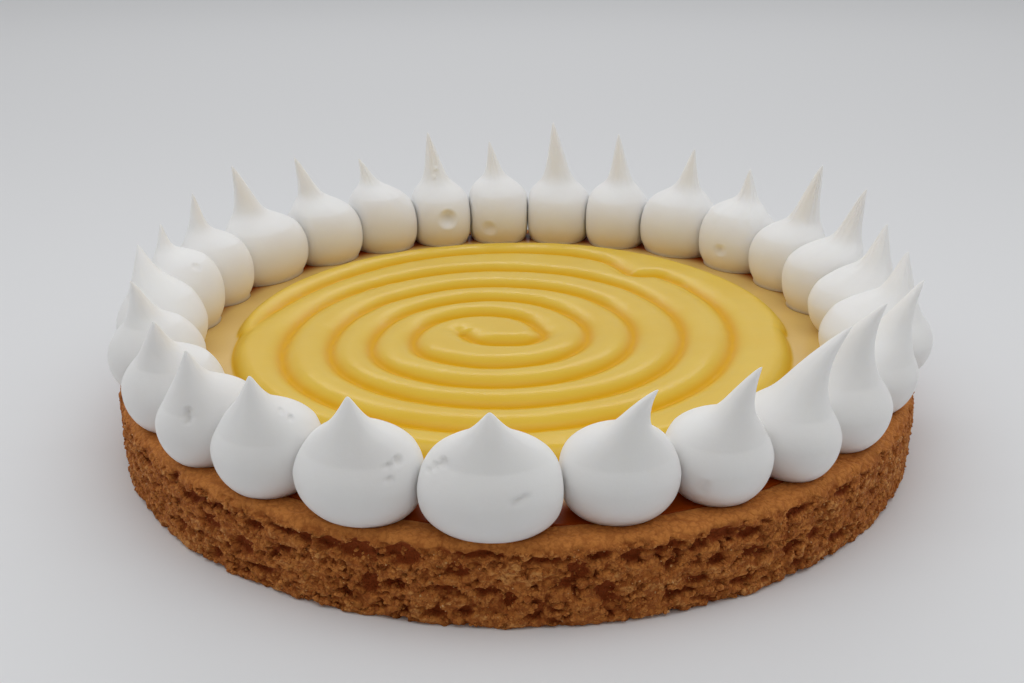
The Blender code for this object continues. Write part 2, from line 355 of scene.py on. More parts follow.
def fade_to(
    tree: Tree, colour: Socket, mask: str, start: float, end: float, other: tuple[int, int, int]
) -> Socket:
    """Fade a colour into another where a stored mask rises.

    Args:
        tree: the material's node tree.
        colour: the colour so far.
        mask: name of the vertex attribute.
        start: mask value where the fade begins.
        end: mask value where the other colour is reached.
        other: the other colour, as screen values.

    Returns:
        The mixed colour's socket.
    """
    ramp = {"Value": stored_mask(tree, mask), "From Min": start, "From Max": end}
    spread = add_node(tree, "MapRange", ramp, interpolation_type="SMOOTHSTEP")
    colours = {0: spread.outputs["Result"], 6: colour, 7: linear(*other)}
    return add_node(tree, "Mix", colours, data_type="RGBA").outputs[2]


@dataclass
class SharedEffects:
    """Shader node groups that more than one finish uses."""

    tone: Tree = field(init=False)
    grain: Tree = field(init=False)
    crumb: Tree = field(init=False)

    def __post_init__(self) -> None:
        """Build each group once."""
        self.tone = self.uneven_tone()
        self.grain = self.fine_grain()
        self.crumb = self.crumb_grain()

    @staticmethod
    def new_group(
        name: str, numbers: dict[str, float], colours: tuple[str, ...], out: str, out_kind: str
    ) -> tuple[Tree, bpy.types.NodeOutputs, Socket]:
        """Start a group with named sockets.

        Args:
            name: the group's name.
            numbers: value inputs and their defaults.
            colours: names of the colour inputs.
            out: the output's name.
            out_kind: the output's kind, Float or Color.

        Returns:
            The group, the sockets that bring its inputs, and the socket that takes its result.
        """
        group = bpy.data.node_groups.new(name, "ShaderNodeTree")
        add_socket = group.interface.new_socket
        for label, default in numbers.items():
            socket = add_socket(label, in_out="INPUT", socket_type="NodeSocketFloat")
            socket.default_value = default
        for label in colours:
            add_socket(label, in_out="INPUT", socket_type="NodeSocketColor")
        add_socket(out, in_out="OUTPUT", socket_type=f"NodeSocket{out_kind}")
        given = group.nodes.new("NodeGroupInput").outputs
        return group, given, group.nodes.new("NodeGroupOutput").inputs[out]

    def uneven_tone(self) -> Tree:
        """Two colours drifting into each other over the surface."""
        numbers = {"Scale": 100.0, "Detail": 4.0}
        group, given, made = self.new_group(
            "uneven_tone", numbers, ("First", "Second"), "Colour", "Color"
        )
        place = add_node(group, "TexCoord", {}).outputs["Object"]
        drift = {"Vector": place, "Scale": given["Scale"], "Detail": given["Detail"]}
        noise = add_node(group, "TexNoise", drift).outputs["Fac"]
        spread = add_node(group, "MapRange", {"Value": noise, "From Min": 0.36, "From Max": 0.64})
        colours = {0: spread.outputs["Result"], 6: given["First"], 7: given["Second"]}
        group.links.new(add_node(group, "Mix", colours, data_type="RGBA").outputs[2], made)
        return group

    def fine_grain(self) -> Tree:
        """Small-scale height: soft unevenness and finer grain on it."""
        numbers = {"Scale": 400.0, "Fine Share": 0.4}
        group, given, made = self.new_group("fine_grain", numbers, (), "Height", "Float")
        place = add_node(group, "TexCoord", {}).outputs["Object"]
        closer = add_node(group, "Math", {0: given["Scale"], 1: 3.7}, operation="MULTIPLY")
        broad = {"Vector": place, "Scale": given["Scale"], "Detail": 2.0}
        fine = {"Vector": place, "Scale": closer.outputs[0], "Detail": 3.0}
        heights = {
            0: given["Fine Share"],
            2: add_node(group, "TexNoise", broad).outputs["Fac"],
            3: add_node(group, "TexNoise", fine).outputs["Fac"],
        }
        group.links.new(add_node(group, "Mix", heights).outputs[0], made)
        return group

    def crumb_grain(self) -> Tree:
        """Small-scale height of baked crumb: rounded grains with crevices between them."""
        numbers = {"Scale": 800.0, "Fine Share": 0.4}
        group, given, made = self.new_group("crumb_grain", numbers, (), "Height", "Float")
        place = add_node(group, "TexCoord", {}).outputs["Object"]
        stir = add_node(group, "TexNoise", {"Vector": place, "Scale": 450.0, "Detail": 3.0})
        stray = {0: stir.outputs["Color"], 1: (0.0022, 0.0022, 0.0022), 2: place}
        stray = add_node(group, "VectorMath", stray, operation="MULTIPLY_ADD").outputs["Vector"]
        closer = add_node(group, "Math", {0: given["Scale"], 1: 2.3}, operation="MULTIPLY")
        coarse = {"Vector": stray, "Scale": given["Scale"]}
        fine = {"Vector": stray, "Scale": closer.outputs[0]}
        heights = {
            0: given["Fine Share"],
            2: add_node(group, "TexVoronoi", coarse).outputs["Distance"],
            3: add_node(group, "TexVoronoi", fine).outputs["Distance"],
        }
        depth = add_node(group, "Mix", heights).outputs[0]
        upward = add_node(group, "Math", {0: 1.0, 1: depth}, operation="SUBTRACT")
        group.links.new(upward.outputs[0], made)
        return group


@dataclass(frozen=True)
class Finish:
    """What every finish shares: a Principled material with an uneven tone and a fine grain."""

    name: str
    light: tuple[int, int, int]
    dark: tuple[int, int, int]
    tone_scale: float
    grain_scale: float
    grain_height: float
    grain_fine_share: float
    roughness: float
    subsurface: float = 0.0
    soak_radius: tuple[float, float, float] = (1.0, 0.6, 0.3)
    soak_scale: float = 0.003

    def base(self, effects: SharedEffects) -> tuple[Material, Node, Socket]:
        """Set up the shader, the two-colour tone and the grain bump.

        Args:
            effects: the shared node groups.

        Returns:
            The material, its Principled shader and its tone's colour.
        """
        material = bpy.data.materials.new(self.name)
        material.use_nodes = True
        tree = material.node_tree
        colours = {
            "Scale": self.tone_scale,
            "First": linear(*self.dark),
            "Second": linear(*self.light),
        }
        tone = add_node(tree, "Group", colours, node_tree=effects.tone).outputs["Colour"]
        sizes = {"Scale": self.grain_scale, "Fine Share": self.grain_fine_share}
        grain = add_node(tree, "Group", sizes, name="grain", node_tree=self.grain_of(effects))
        relief = {
            "Strength": 1.0,
            "Distance": self.grain_height,
            "Height": grain.outputs["Height"],
        }
        bump = add_node(tree, "Bump", relief, name="bump")
        shader = tree.nodes["Principled BSDF"]
        surface = {
            "Roughness": self.roughness,
            "Subsurface Weight": self.subsurface,
            "Subsurface Radius": self.soak_radius,
            "Subsurface Scale": self.soak_scale,
            "Normal": bump.outputs["Normal"],
            "Base Color": tone,
        }
        feed(tree, shader, surface)
        return material, shader, tone

    def grain_of(self, effects: SharedEffects) -> Tree:
        """The node group that gives this finish its fine relief."""
        return effects.grain

    def material(self, effects: SharedEffects) -> Material:
        """The finished material."""
        return self.base(effects)[0]


@dataclass(frozen=True)
class PastryFinish(Finish):
    """Baked crumb: golden where it stands proud, with painted red-brown shade down in its hollows,
    pockets, rim cracks and fine crevices.
    """

    # Painted shade: colour laid into pits, pores, pockets and rim cracks.
    shadow: tuple[int, int, int] = (140, 62, 14)
    golden: tuple[int, int, int] = (218, 152, 84)
    rim_top: tuple[int, int, int] = (206, 132, 62)
    # Painted shade: colour of the crevices between the fine crumb grains.
    crevice_shade: tuple[int, int, int] = (146, 74, 24)

    def grain_of(self, effects: SharedEffects) -> Tree:
        """The node group that gives this finish its fine relief."""
        return effects.crumb

    def material(self, effects: SharedEffects) -> Material:
        """The finished material, with painted shade in its hollows and fine crevices, and the fine
        relief and its crevice shade calmed on the rim.
        """
        material, shader, colour = self.base(effects)
        tree = material.node_tree
        colour = fade_to(tree, colour, "proud", 0.50, 0.95, self.golden)
        colour = fade_to(tree, colour, "rim", 0.30, 1.30, self.rim_top)
        calm = {"Value": stored_mask(tree, "rim"), "To Min": 1.0, "To Max": 0.60}
        calm = add_node(tree, "MapRange", calm).outputs["Result"]
        height = tree.nodes["grain"].outputs["Height"]
        # Painted shade: the fine grain's low spots darken towards the crevice shade colour, less so
        # on the rim.
        depth = {"Value": height, "From Min": 0.62, "From Max": 0.30, "To Max": 0.80}
        depth = add_node(tree, "MapRange", depth).outputs["Result"]
        share = add_node(tree, "Math", {0: depth, 1: calm}, operation="MULTIPLY").outputs[0]
        colours = {0: share, 6: colour, 7: linear(*self.crevice_shade)}
        colour = add_node(tree, "Mix", colours, data_type="RGBA").outputs[2]
        # Painted shade: pits, pores, pockets and rim cracks darkened to red-brown.
        colour = fade_to(tree, colour, "hollow", 0.15, 0.85, self.shadow)
        feed(tree, tree.nodes["bump"], {"Strength": calm})
        feed(tree, shader, {"Base Color": colour, "Specular IOR Level": 0.25})
        return material


@dataclass(frozen=True)
class CurdFinish(Finish):
    """Set lemon curd: glossy and pale on the crests, with painted deeper orange shade and less
    shine in the grooves and at the rim.
    """

    # Painted shade: colour of the grooves and the rope's outer slope.
    groove: tuple[int, int, int] = (226, 170, 0)
    flat_ring: tuple[int, int, int] = (222, 186, 108)
    # Painted shade: dark orange of the curd near the rim, under and between the kisses, with a
    # painted translucent glow.
    painted_rim_shade: tuple[int, int, int] = (150, 60, 4)

    def material(self, effects: SharedEffects) -> Material:
        """The finished material."""
        material, shader, colour = self.base(effects)
        tree = material.node_tree
        # Painted shade: the grooves and the rope's outer slope turn deeper orange.
        colour = fade_to(tree, colour, "groove", 0.04, 0.80, self.groove)
        colour = fade_to(tree, colour, "flat_ring", 0.0, 1.0, self.flat_ring)
        # Painted shade: the curd near the rim, in the kisses' shade, turns dark glowing orange.
        colour = fade_to(tree, colour, "painted_rim_shade", 0.0, 1.0, self.painted_rim_shade)
        # Less shine where the painted shade of the grooves and the rim lies.
        masks = {0: stored_mask(tree, "painted_rim_shade"), 1: stored_mask(tree, "groove")}
        shaded_share = add_node(tree, "Math", masks, operation="MAXIMUM").outputs[0]
        shine = add_node(tree, "MapRange", {"Value": shaded_share, "To Min": 0.5, "To Max": 0.05})
        feed(tree, shader, {"Base Color": colour, "Specular IOR Level": shine.outputs["Result"]})
        return material


@dataclass(frozen=True)
class MeringueFinish(Finish):
    """Whipped egg white: satin and very pale, with painted yellow light bounced from the curd low
    on the inner side.
    """

    # Painted reflection: yellow light bounced from the curd onto the kisses' inner feet.
    curd_bounce: tuple[int, int, int] = (246, 232, 204)

    def material(self, effects: SharedEffects) -> Material:
        """The finished material."""
        material, shader, colour = self.base(effects)
        tree = material.node_tree
        # Painted reflection: curd-yellow bounce light low on the inner side.
        colour = fade_to(tree, colour, "foot", 0.0, 1.0, self.curd_bounce)
        feed(tree, shader, {"Base Color": colour, "Specular IOR Level": 0.35})
        return material


# Voids in the wall's face: degrees round from the tart's right-hand side, millimetres above the
# table, half length and half height in millimetres.
WALL_POCKETS = (
    (-107.6, 16.0, 3.7, 2.0), (-102.2, 16.4, 3.6, 2.0), (-94.0, 17.6, 5.3, 0.8),
    (-96.3, 13.6, 2.5, 1.4), (-87.1, 16.4, 3.6, 1.0), (-81.6, 16.9, 2.1, 1.0),
    (-83.6, 14.0, 2.1, 1.7), (-103.1, 9.0, 2.2, 1.5), (-106.3, 8.6, 1.8, 2.0),
    (-90.9, 7.0, 1.2, 1.7), (-80.2, 7.5, 1.9, 2.4), (-105.0, 3.6, 0.9, 1.0), (-97.7, 9.2, 2.5, 1.0),
    (-98.6, 3.0, 1.9, 1.3), (-95.6, 4.0, 1.5, 1.0), (-88.3, 2.9, 2.1, 1.0), (-92.9, 9.2, 2.9, 0.9),
    (-128.4, 16.0, 11.2, 0.8), (-121.1, 15.4, 2.4, 1.3), (-116.6, 16.8, 4.0, 0.8),
    (-114.1, 16.0, 1.8, 1.1), (-111.2, 16.2, 2.9, 1.2), (-123.4, 9.1, 2.6, 1.9),
    (-128.8, 11.2, 3.2, 1.7), (-132.8, 14.9, 3.0, 1.3), (-117.5, 11.8, 1.9, 1.0),
    (-121.6, 4.7, 3.1, 0.8), (-135.5, 6.1, 2.0, 0.9), (-127.8, 3.7, 1.9, 1.1),
    (-67.0, 17.4, 4.2, 1.3), (-73.0, 16.9, 3.2, 1.0), (-77.7, 16.2, 1.9, 1.3),
    (-69.5, 16.0, 2.1, 1.0), (-72.7, 12.9, 2.3, 1.2), (-67.5, 11.4, 2.5, 1.2),
    (-63.0, 15.6, 2.6, 1.2), (-62.5, 10.6, 2.5, 1.2), (-56.5, 8.2, 3.0, 1.1),
    (-56.2, 17.0, 2.8, 1.2), (-47.5, 16.4, 3.2, 1.5), (-69.5, 7.5, 1.9, 1.0),
    (-63.6, 4.4, 2.7, 1.0), (-55.1, 3.8, 2.4, 1.1), (-47.9, 4.7, 3.2, 1.3), (-71.4, 5.1, 3.8, 1.0),
    (-52.7, 9.0, 2.2, 1.5),
)


@dataclass
class PastryCase:
    """The case: a crumbly upright wall with a smoother rim, and the crumbs that cling to it."""

    finish: PastryFinish
    crumb_finish: PastryFinish
    sugar_finish: Finish
    radius: float = 0.1098
    height: float = 0.0203
    wall: float = 0.0073
    floor: float = 0.0050
    rim_round: float = 0.0024
    foot_round: float = 0.0010
    most_radius: float = 0.1103
    steps: int = 1330
    side_rows: int = 42
    rim_rows: int = 9
    flat_rows: int = 9
    lump_height: float = 0.00035
    crumb_size: float = 0.0023
    crumb_height: float = 0.00060
    grain_size: float = 0.0011
    grain_height: float = 0.00045
    pit_depth: float = 0.0019
    pore_depth: float = 0.0010
    crack_depth: float = 0.00050
    edge_chips: float = 0.0006
    crumb_count: int = 9800
    crumb_sizes: tuple[float, float] = (0.00030, 0.00068)
    sugar_count: int = 500
    sugar_sizes: tuple[float, float] = (0.00014, 0.00030)

    def section(self) -> list[tuple[float, float]]:
        """The wall's section, from under the floor up the outside, over the rim and down inside."""
        rows = [(0.0, 0.0), (0.080, 0.0), (0.100, 0.0)]
        rows += [(0.104 + 0.0012 * index, 0.0) for index in range(4)]
        for index in range(4):
            turn = QUARTER * index / 3
            out = self.radius - self.foot_round * (1.0 - math.sin(turn))
            rows.append((out, self.foot_round * (1.0 - math.cos(turn))))
        top = self.height - self.rim_round
        for index in range(1, self.side_rows + 1):
            share = (top - self.foot_round) * index / self.side_rows
            rows.append((self.radius, self.foot_round + share))
        for index in range(1, self.rim_rows + 1):
            turn = QUARTER * index / self.rim_rows
            out = self.radius - self.rim_round * (1.0 - math.cos(turn))
            rows.append((out, top + self.rim_round * math.sin(turn)))
        inner = self.radius - self.wall
        outer = self.radius - self.rim_round
        for index in range(1, self.flat_rows + 1):
            rows.append((outer + (inner - outer) * index / self.flat_rows, self.height))
        bend = inner - 0.0002
        return rows + [(bend, self.height - 0.0010), (bend, self.floor), (0.0, self.floor)]

    def build(self, effects: SharedEffects) -> list[Piece]:
        """Make the case, its clinging crumbs and its sugar grains.

        Args:
            effects: the shared node groups.

        Returns:
            The pieces, case first.
        """
        case = revolve("pastry_case", self.section(), self.steps)
        points = read_points(case)
        shaped, hollow, proud, rim = self.roughen(points)
        write_points(case, shaped)
        write_mask(case, "hollow", hollow)
        write_mask(case, "proud", proud)
        write_mask(case, "rim", rim)
        case.data.shade_smooth()
        case.data.materials.append(self.finish.material(effects))
        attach(case, "root")
        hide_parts("crust")
        crumbs, sugar = self.sprinkle(shaped, hollow, rim)
        crumbs.data.materials.append(self.crumb_finish.material(effects))
        sugar.data.materials.append(self.sugar_finish.material(effects))
        for piece in (crumbs, sugar):
            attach(piece, "root")
        return [case, crumbs, sugar]

    def roughen(self, points: np.ndarray) -> tuple[np.ndarray, np.ndarray, np.ndarray, np.ndarray]:
        """Break the smooth wall up into crumb, pits and a cracked rim.

        Args:
            points: the smooth case's vertices.

        Returns:
            The new positions and the masks hollow, proud and rim.
        """
        # Which part of the case each vertex belongs to.
        radius = np.hypot(points[:, 0], points[:, 1])
        height = points[:, 2]
        outward = points / np.maximum(radius, 1e-6)[:, None]
        outward[:, 2] = 0.0
        inner = self.radius - self.wall
        outside = unit((radius - self.radius + 0.0035) / 0.0030)
        on_top = unit((height - self.height + 0.0034) / 0.0030) * (radius > inner - 0.0001)
        side = outside * (1.0 - on_top * on_top)

        # The outer side's lumps, crumbs, grains, pits and pores, all a little flatter than round.
        flatten = np.array([1.0, 1.0, 1.6])
        flat = points * flatten
        stir = [smooth_noise(flat, 0.0017, seed) for seed in (12, 13, 14)]
        stirred = flat + 0.0009 * np.stack(stir, axis=1)
        broad = rough_noise(flat, 0.0070, 11, 2)
        crumb = 1.0 - grain_distance(stirred, self.crumb_size, 21)
        small = 1.0 - grain_distance(stirred, self.grain_size, 31)
        under_rim = np.exp(-(((height - self.height + 0.0046) / 0.0024) ** 2))
        mouth = rough_noise(stirred, 0.0040, 41, 3)
        pit = eased(unit((mouth - 0.52 + 0.20 * under_rim) / 0.28))
        pit = np.maximum(pit, self.pockets(stirred / flatten))
        pore = rough_noise(stirred, 0.0021, 43, 2)
        pores = eased(unit((pore - 0.10) / 0.34)) * (1.0 - 0.7 * pit)
        relief = self.lump_height * broad
        relief = relief + self.crumb_height * (crumb - 0.45) + self.grain_height * (small - 0.45)
        relief -= self.pit_depth * pit + self.pore_depth * pores

        # The rim's soft bulges and cracks.
        bulge = 0.00030 * rough_noise(points, 0.0075, 61, 2) + 0.00016 * (small - 0.4)
        crack = np.clip(0.10 - np.abs(rough_noise(points, 0.0065, 71, 2)), 0.0, 0.10) / 0.10
        crack *= unit(smooth_noise(points, 0.009, 81) + 0.1)
        top_drop = (bulge - 0.00018 - self.crack_depth * crack) * on_top

        # All of it put on the smooth case, with chips along the rim and a ragged foot.
        sag = 0.00035 * smooth_noise(flat, 0.0019, 51) * side
        shaped = points + outward * (relief * side)[:, None]
        shaped[:, 2] += sag + np.minimum(top_drop, 0.0001)
        lip = on_top * unit((radius - self.radius + 0.0024) / 0.0016)
        chips = lip * (self.edge_chips * rough_noise(points, 0.0034, 95, 2) - 0.0002)
        shaped += outward * chips[:, None]
        ragged = unit(1.0 - height / 0.0018) * outside
        chips = ragged * self.edge_chips * rough_noise(points, 0.0024, 91, 2)
        shaped += outward * chips[:, None]
        shaped[:, 2] = np.clip(shaped[:, 2], 0.0, self.height + 0.0001)
        reach = np.hypot(shaped[:, 0], shaped[:, 1])
        shaped[:, :2] *= np.minimum(1.0, self.most_radius / np.maximum(reach, 1e-6))[:, None]

        # The hollow mask: how deep each vertex lies in a pit, pore or rim crack; the finish paints
        # shade there from it.
        hollow = unit((-relief - 0.0002) / 0.0015) * side + 0.75 * crack * on_top
        proud = unit(0.5 + relief / 0.0008) * side
        return shaped, hollow, proud, on_top * (1.0 - crack)

    def pockets(self, points: np.ndarray) -> np.ndarray:
        """The larger voids in the wall's face.

        Args:
            points: positions on the wall.

        Returns:
            How deep each position lies in a void, from 0 to 1.
        """
        angle = np.arctan2(points[:, 1], points[:, 0])
        deepest = np.zeros(len(points))
        for degrees, level, half_length, half_height in WALL_POCKETS:
            turn = (angle - math.radians(degrees) + math.pi) % TURN - math.pi
            across = turn * self.radius / (MM * half_length)
            up = (points[:, 2] - MM * level) / (MM * half_height)
            deepest = np.maximum(deepest, eased(unit(1.9 - 1.35 * np.hypot(across, up))))
        return deepest

    def sprinkle(
        self, points: np.ndarray, hollow: np.ndarray, rim: np.ndarray
    ) -> tuple[Piece, Piece]:
        """Set loose crumbs and sugar grains into the wall's surface.

        Args:
            points: the roughened case's vertices.
            hollow: how deep each vertex lies in a pit.
            rim: how far each vertex belongs to the rim's top.

        Returns:
            The crumbs and the sugar grains.
        """
        draw = np.random.default_rng(5)
        radius = np.hypot(points[:, 0], points[:, 1])
        on_side = (radius > 0.1055) & (points[:, 2] < self.height - 0.0010) & (rim < 0.5)
        side = np.flatnonzero(on_side & (points[:, 2] > 0.0002))
        chance = 1.0 - 0.75 * hollow[side]
        chance = chance / np.sum(chance)
        picked = draw.choice(side, self.crumb_count, replace=False, p=chance)
        sizes = draw.uniform(*self.crumb_sizes, self.crumb_count)
        sizes = sizes * draw.uniform(0.7, 1.4, self.crumb_count)
        places = points[picked].copy()
        places[:, :2] *= (1.0 - 0.0003 / radius[picked])[:, None]
        places[:, 2] = np.maximum(places[:, 2], 1.4 * sizes)
        grain = single_grain("crumb_blank")
        crumbs = scatter("clinging_crumbs", grain, places, sizes, draw)
        crumbs.data.shade_smooth()
        picked = draw.choice(side, self.sugar_count, replace=False)
        sizes = draw.uniform(*self.sugar_sizes, self.sugar_count)
        places = points[picked].copy()
        places[:, 2] = np.maximum(places[:, 2], 1.4 * sizes)
        sugar = scatter("sugar_grains", grain, places, sizes, draw)
        bpy.data.objects.remove(grain, do_unlink=True)
        return crumbs, sugar


# The groove beside the piped rope: degrees round from the tart's right-hand side, and
# millimetres from its axis. It starts at the hook, and its kink is where piping was resumed.
GROOVE_COURSE = (
    (-173, 16.4), (-163, 15.2), (-143, 14.2), (-110, 11.2), (-62, 10.1), (-28, 8.9), (0, 6.6),
    (29, 6.2), (60, 7.2), (90, 9.6), (120, 14.0), (150, 20.9), (168, 25.0), (180, 27.4),
    (210, 31.3), (240, 28.7), (270, 25.7), (300, 23.8), (330, 21.9), (360, 20.4), (405, 20.2),
    (450, 24.0), (495, 30.5), (540, 39.0), (570, 43.6), (600, 41.6), (630, 38.5), (675, 35.5),
    (720, 33.6), (765, 34.2), (810, 37.0), (855, 43.2), (900, 51.0), (930, 55.0), (960, 53.2),
    (990, 50.6), (1035, 48.6), (1080, 47.8), (1125, 49.4), (1170, 52.6), (1215, 57.8), (1260, 64.5),
    (1290, 68.0), (1320, 66.4), (1350, 63.6), (1395, 61.3), (1440, 62.0), (1465, 64.2),
    (1480, 65.6), (1486, 65.2), (1489, 62.0), (1492, 61.0), (1496, 63.5), (1502, 67.6),
    (1510, 70.4), (1530, 71.6), (1560, 72.3), (1590, 72.6), (1610, 75.0), (1630, 78.5),
)


@dataclass
class LemonCurd:
    """The filling: level at the rim, with the piped rope coiled on top of it."""

    finish: CurdFinish
    rim_radius: float = 0.1022
    level: float = 0.0203
    underside: float = 0.0053
    crest: float = 0.0241
    groove_depth: float = 0.0021
    groove_reach: float = 0.0062
    groove_power: float = 2.3
    groove_softness: float = 0.00045
    edge_radius: float = 0.0780
    edge_swell: float = 0.0058
    edge_left: float = 0.0024
    edge_reach: float = 0.0054
    # Where the painted dark orange shade near the rim begins and how far it takes to reach full
    # strength.
    rim_shade_radius: float = 0.0895
    rim_shade_reach: float = 0.0065
    ring_step: float = 0.00055
    steps: int = 500

    def section(self) -> list[tuple[float, float]]:
        """The disc's section, from its top's centre out to the rim and back along its underside."""
        rim, low = self.rim_radius, self.underside
        count = round(rim / self.ring_step)
        rows = [(rim * index / count, self.level) for index in range(count + 1)]
        return rows + [(rim, 0.013), (rim, low), (0.0, low)]

    def course(self) -> tuple[np.ndarray, np.ndarray]:
        """The groove as closely spaced points.

        Returns:
            The points and the groove's strength at each, from 0 to 1.
        """
        table = np.array(GROOVE_COURSE, dtype=float)
        first, last = table[0, 0], table[-1, 0]
        wanted = np.arange(first, last, 0.8)
        radius = MM * flowing_curve(table[:, 0], table[:, 1], wanted)
        angle = np.radians(wanted)
        line = np.stack([radius * np.cos(angle), radius * np.sin(angle)], axis=1)
        strength = unit((wanted - first) / 12.0 + 0.55)
        strength *= unit((last - wanted) / 25.0)
        return line, strength

    def edge(self, angle: np.ndarray) -> np.ndarray:
        """Radius of the rope's outer edge in each direction."""
        left = self.edge_left * np.maximum(0.0, -np.cos(angle)) ** 2
        return self.edge_radius + left + self.edge_swell * np.sqrt(np.maximum(0.0, np.sin(angle)))

    def relief(self, points: np.ndarray) -> tuple[np.ndarray, np.ndarray, np.ndarray]:
        """Height of the piped top.

        Args:
            points: positions on the disc's top, one row each.

        Returns:
            The height, the mask of painted shade for the grooves and the rope's outer slope, and
            the flat ring mask.
        """
        line, strength = self.course()
        line_square = np.sum(line**2, axis=1)
        distance = np.empty(len(points))
        nearby = np.empty(len(points))
        for start in range(0, len(points), 4000):
            batch = slice(start, start + 4000)
            part = points[batch, :2]
            nearest = np.argmin(line_square - 2.0 * part @ line.T, axis=1)
            distance[batch] = np.hypot(*(part - line[nearest]).T)
            nearby[batch] = strength[nearest]
        radius = np.hypot(points[:, 0], points[:, 1])
        angle = np.arctan2(points[:, 1], points[:, 0])
        soft = np.sqrt(distance**2 + self.groove_softness**2) - self.groove_softness
        valley = unit(1.0 - soft / self.groove_reach) ** self.groove_power * nearby
        to_edge = self.edge(angle) - radius
        slope = unit(1.0 - to_edge / self.edge_reach) ** self.groove_power
        wave = 0.00016 * smooth_noise(points, 0.016, 3) + 0.00005 * smooth_noise(points, 0.0045, 5)
        drop = self.crest - self.level
        height = self.crest + wave - self.groove_depth * valley - drop * slope
        ring_level = self.level + 0.00008 * smooth_noise(points, 0.008, 9)
        height = np.where(to_edge < 0.0, ring_level, np.maximum(height, ring_level))
        on_rope = unit((to_edge + 0.0004) / 0.0006)
        # The groove mask returned here carries the painted shade of the grooves and the rope's
        # outer slope.
        return height, np.maximum(valley, 0.8 * slope * on_rope) ** 1.5, 1.0 - on_rope

    def build(self, effects: SharedEffects) -> Piece:
        """Make the curd.

        Args:
            effects: the shared node groups.

        Returns:
            The finished piece.
        """
        curd = revolve("lemon_curd_filling", self.section(), self.steps)
        points = read_points(curd)
        top = points[:, 2] > self.level - 0.0001
        height, groove, flat_ring = self.relief(points[top])
        points[top, 2] = height
        write_points(curd, points)
        radius = np.hypot(points[:, 0], points[:, 1])
        for name, values in (("groove", groove), ("flat_ring", flat_ring)):
            full = np.zeros(len(points))
            full[top] = values
            write_mask(curd, name, full)
        # Mask of the painted dark orange shade near the rim.
        write_mask(curd, "painted_rim_shade", unit((radius - self.rim_shade_radius) / self.rim_shade_reach))
        curd.data.shade_smooth()
        curd.data.materials.append(self.finish.material(effects))
        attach(curd, "root")
        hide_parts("curd")
        return curd


class Wear(Enum):
    """How a kiss came off the nozzle, as the strength of the ridges on its upper part."""

    SMOOTH = 0.02
    CREASED = 0.13
    CRUMPLED = 0.20


class Form(Enum):
    """A kiss's general form: full with a broad point, or drawn out into a slim spike."""

    FULL = "full"
    SPIKED = "spiked"


@dataclass(frozen=True)
class Kiss:
    """One kiss on the ring: where it meets the next one, and its point's place and height.

    Then come how far it stands in from the ring, its point's reach from the tart's axis, its
    belly's share of the usual, how far its outer flank bows in, and how late its point bends
    aside. Places count kisses, counter-clockwise from the front, and lengths are millimetres.
    """

    seam: float
    tip_place: float
    tip_height: float
    inward: float
    reach: float = 106.5
    girth: float = 1.0
    bow: float = 1.2
    curl: float = 1.4
    wear: Wear = Wear.SMOOTH
    form: Form = Form.FULL


KISSES = (
    Kiss(0.41, -0.21, 48.4, -0.3, bow=0.6, curl=1.3),
    Kiss(1.52, 1.13, 51.6, 4.0, bow=2.0, curl=3.4),
    Kiss(2.49, 2.09, 52.6, 3.6, bow=2.2, curl=2.8),
    Kiss(3.32, 3.19, 55.1, 2.5, bow=3.2, curl=2.2),
    Kiss(4.31, 3.85, 56.0, 2.0, bow=3.6),
    Kiss(5.30, 5.00, 53.1, 2.0, reach=108.5, bow=2.2, curl=1.5),
    Kiss(6.45, 6.12, 51.3, 1.1, reach=105.8, girth=1.20, curl=1.5, wear=Wear.CREASED),
    Kiss(7.46, 7.07, 52.0, 1.5, reach=106.3, girth=1.08, wear=Wear.CREASED),
    Kiss(8.40, 7.82, 57.2, 1.8, reach=108.1, wear=Wear.CRUMPLED, form=Form.SPIKED),
    Kiss(9.36, 8.66, 59.8, -0.6, wear=Wear.CRUMPLED, form=Form.SPIKED),
    Kiss(10.37, 9.91, 52.2, -0.8, wear=Wear.CRUMPLED, form=Form.SPIKED),
    Kiss(11.44, 10.82, 55.6, -1.2, wear=Wear.CREASED, form=Form.SPIKED),
    Kiss(12.35, 11.98, 58.0, 0.0, wear=Wear.CREASED, form=Form.SPIKED),
    Kiss(13.31, 12.95, 61.0, 0.0, wear=Wear.CREASED, form=Form.SPIKED),
    Kiss(14.24, 13.89, 54.2, 0.6, wear=Wear.CREASED, form=Form.SPIKED),
    Kiss(15.13, 14.80, 58.5, 0.0, wear=Wear.CRUMPLED, form=Form.SPIKED),
    Kiss(16.09, 15.85, 51.6, -0.8, wear=Wear.CREASED, form=Form.SPIKED),
    Kiss(17.10, 16.86, 55.7, -0.4, wear=Wear.CREASED, form=Form.SPIKED),
    Kiss(18.30, 17.93, 57.8, -0.8, curl=1.6, form=Form.SPIKED),
    Kiss(19.19, 18.73, 53.7, -1.2, form=Form.SPIKED),
    Kiss(20.15, 19.55, 49.7, -0.4, reach=106.0, form=Form.SPIKED),
    Kiss(21.12, 20.34, 49.5, 0.6, reach=105.5),
    Kiss(22.07, 21.80, 51.0, 1.0, reach=103.2, bow=1.8),
    Kiss(23.14, 23.05, 50.8, 1.6, reach=104.6, bow=1.6, curl=1.8),
    Kiss(24.00, 23.82, 50.0, 1.2, bow=0.8),
    Kiss(24.98, 24.65, 49.4, 1.2, bow=0.6),
    Kiss(26.14, 25.62, 49.4, 0.4, bow=0.6),
)


